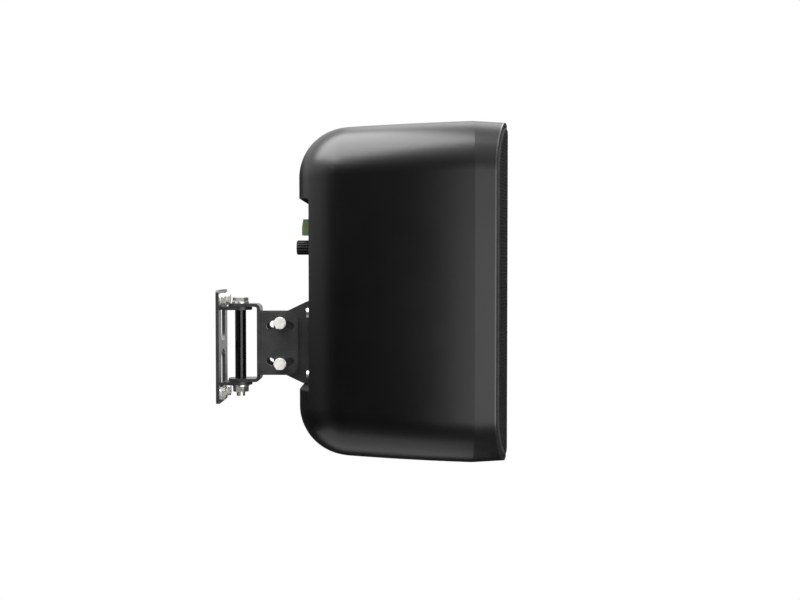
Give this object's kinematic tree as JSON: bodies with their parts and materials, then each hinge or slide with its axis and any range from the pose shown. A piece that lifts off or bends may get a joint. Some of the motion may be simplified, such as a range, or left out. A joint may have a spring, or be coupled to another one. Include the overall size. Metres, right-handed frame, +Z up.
{
  "type": "installation speaker",
  "caption": "Wall loudspeaker with a moulded cabinet and curved perforated grille, carried by a pan and tilt steel bracket, with a pluggable terminal block and a tap knob at its back",
  "frame": {"origin": "middle of the wall plate's back face, on the wall", "axes": "+X from the wall towards the listener, +Z up, +Y across"},
  "size_m": [0.272, 0.2, 0.3076],
  "materials": {
    "bracket_steel": "black powder coat, satin",
    "zinc_steel": "bright zinc plate",
    "insert_brass": "machined",
    "cabinet_plastic": "fine moulded grain, satin",
    "grille_steel": "powder coat, matte",
    "port_plastic": "moulded, satin",
    "seal_rubber": "matte",
    "frame_steel": "stove enamel",
    "cone_paper": "pressed pulp, black",
    "spider_cloth": "resin-dipped cloth",
    "coil_copper": "enamelled copper wire",
    "motor_steel": "clear zinc plate",
    "magnet_ceramic": "sintered",
    "black_screws": "black oxide",
    "dome_cloth": "coated silk",
    "panel_plastic": "moulded, satin",
    "knob_plastic": "moulded, satin",
    "plug_green": "moulded, satin",
    "core_steel": "varnished laminations",
    "board_laminate": "solder mask",
    "capacitor_film": "dipped film"
  },
  "bodies": {
    "wall_mount": {"wall_plate": "bracket_steel", "wall_washers": "zinc_steel", "wall_nuts": "zinc_steel", "pivot_bolt": "zinc_steel", "pivot_washers": "zinc_steel", "pivot_spacer": "bracket_steel", "pivot_nut": "zinc_steel"},
    "swivel": {"swivel_bracket": "bracket_steel"},
    "speaker": {"left_speaker_bracket": "bracket_steel", "right_speaker_bracket": "bracket_steel", "tilt_bolts": "zinc_steel", "tilt_washers": "zinc_steel", "tilt_nuts": "zinc_steel", "bracket_screws": "zinc_steel", "bracket_inserts": "insert_brass", "rear_cabinet": "cabinet_plastic", "cabinet_gasket": "seal_rubber", "front_baffle": "cabinet_plastic", "baffle_screws": "black_screws", "grille": "grille_steel", "port_tubes": "port_plastic", "woofer_basket": "frame_steel", "woofer_gasket": "seal_rubber", "woofer_surround": "seal_rubber", "woofer_spider": "spider_cloth", "woofer_top_plate": "motor_steel", "woofer_magnet": "magnet_ceramic", "woofer_yoke": "motor_steel", "woofer_screws": "black_screws", "tweeter_waveguide": "port_plastic", "tweeter_dome": "dome_cloth", "tweeter_top_plate": "motor_steel", "tweeter_magnet": "magnet_ceramic", "tweeter_back_plate": "motor_steel", "tweeter_screws": "black_screws", "input_panel": "panel_plastic", "input_panel_screws": "black_screws", "tap_switch": "panel_plastic", "connector_header": "panel_plastic", "header_pins": "insert_brass", "transformer_core": "core_steel", "transformer_winding": "coil_copper", "transformer_bracket": "core_steel", "transformer_screws": "black_screws", "crossover_board": "board_laminate", "board_screws": "black_screws", "inductors": "coil_copper", "capacitors": "capacitor_film", "resistors": "magnet_ceramic"},
    "knob": {"tap_knob": "knob_plastic"},
    "plug": {"connector_plug": "plug_green", "plug_screws": "insert_brass"},
    "cone": {"woofer_cone": "cone_paper", "woofer_dust_cap": "cone_paper", "woofer_voice_coil": "coil_copper"}
  },
  "joints": [
    {"name": "pan", "type": "hinge", "parent": "wall_mount", "child": "swivel", "pos_m": [0.0196, 0, 0], "axis": [0, 0, 1], "range_deg": [-45, 45]},
    {"name": "tilt", "type": "hinge", "parent": "swivel", "child": "speaker", "pos_m": [0.0587, 0, 0.003], "axis": [0, 1, 0], "range_deg": [-25, 30]},
    {"name": "tap_select", "type": "hinge", "parent": "speaker", "child": "knob", "pos_m": [0.0809, 0, 0.093], "axis": [1, 0, 0], "range_deg": [-60, 60]},
    {"name": "plug_pull", "type": "slide", "parent": "speaker", "child": "plug", "axis": [-1, 0, 0], "range_m": [0, 0.015]},
    {"name": "cone_travel", "type": "slide", "parent": "speaker", "child": "cone", "axis": [1, 0, 0], "range_m": [-0.004, 0.004]}
  ]
}
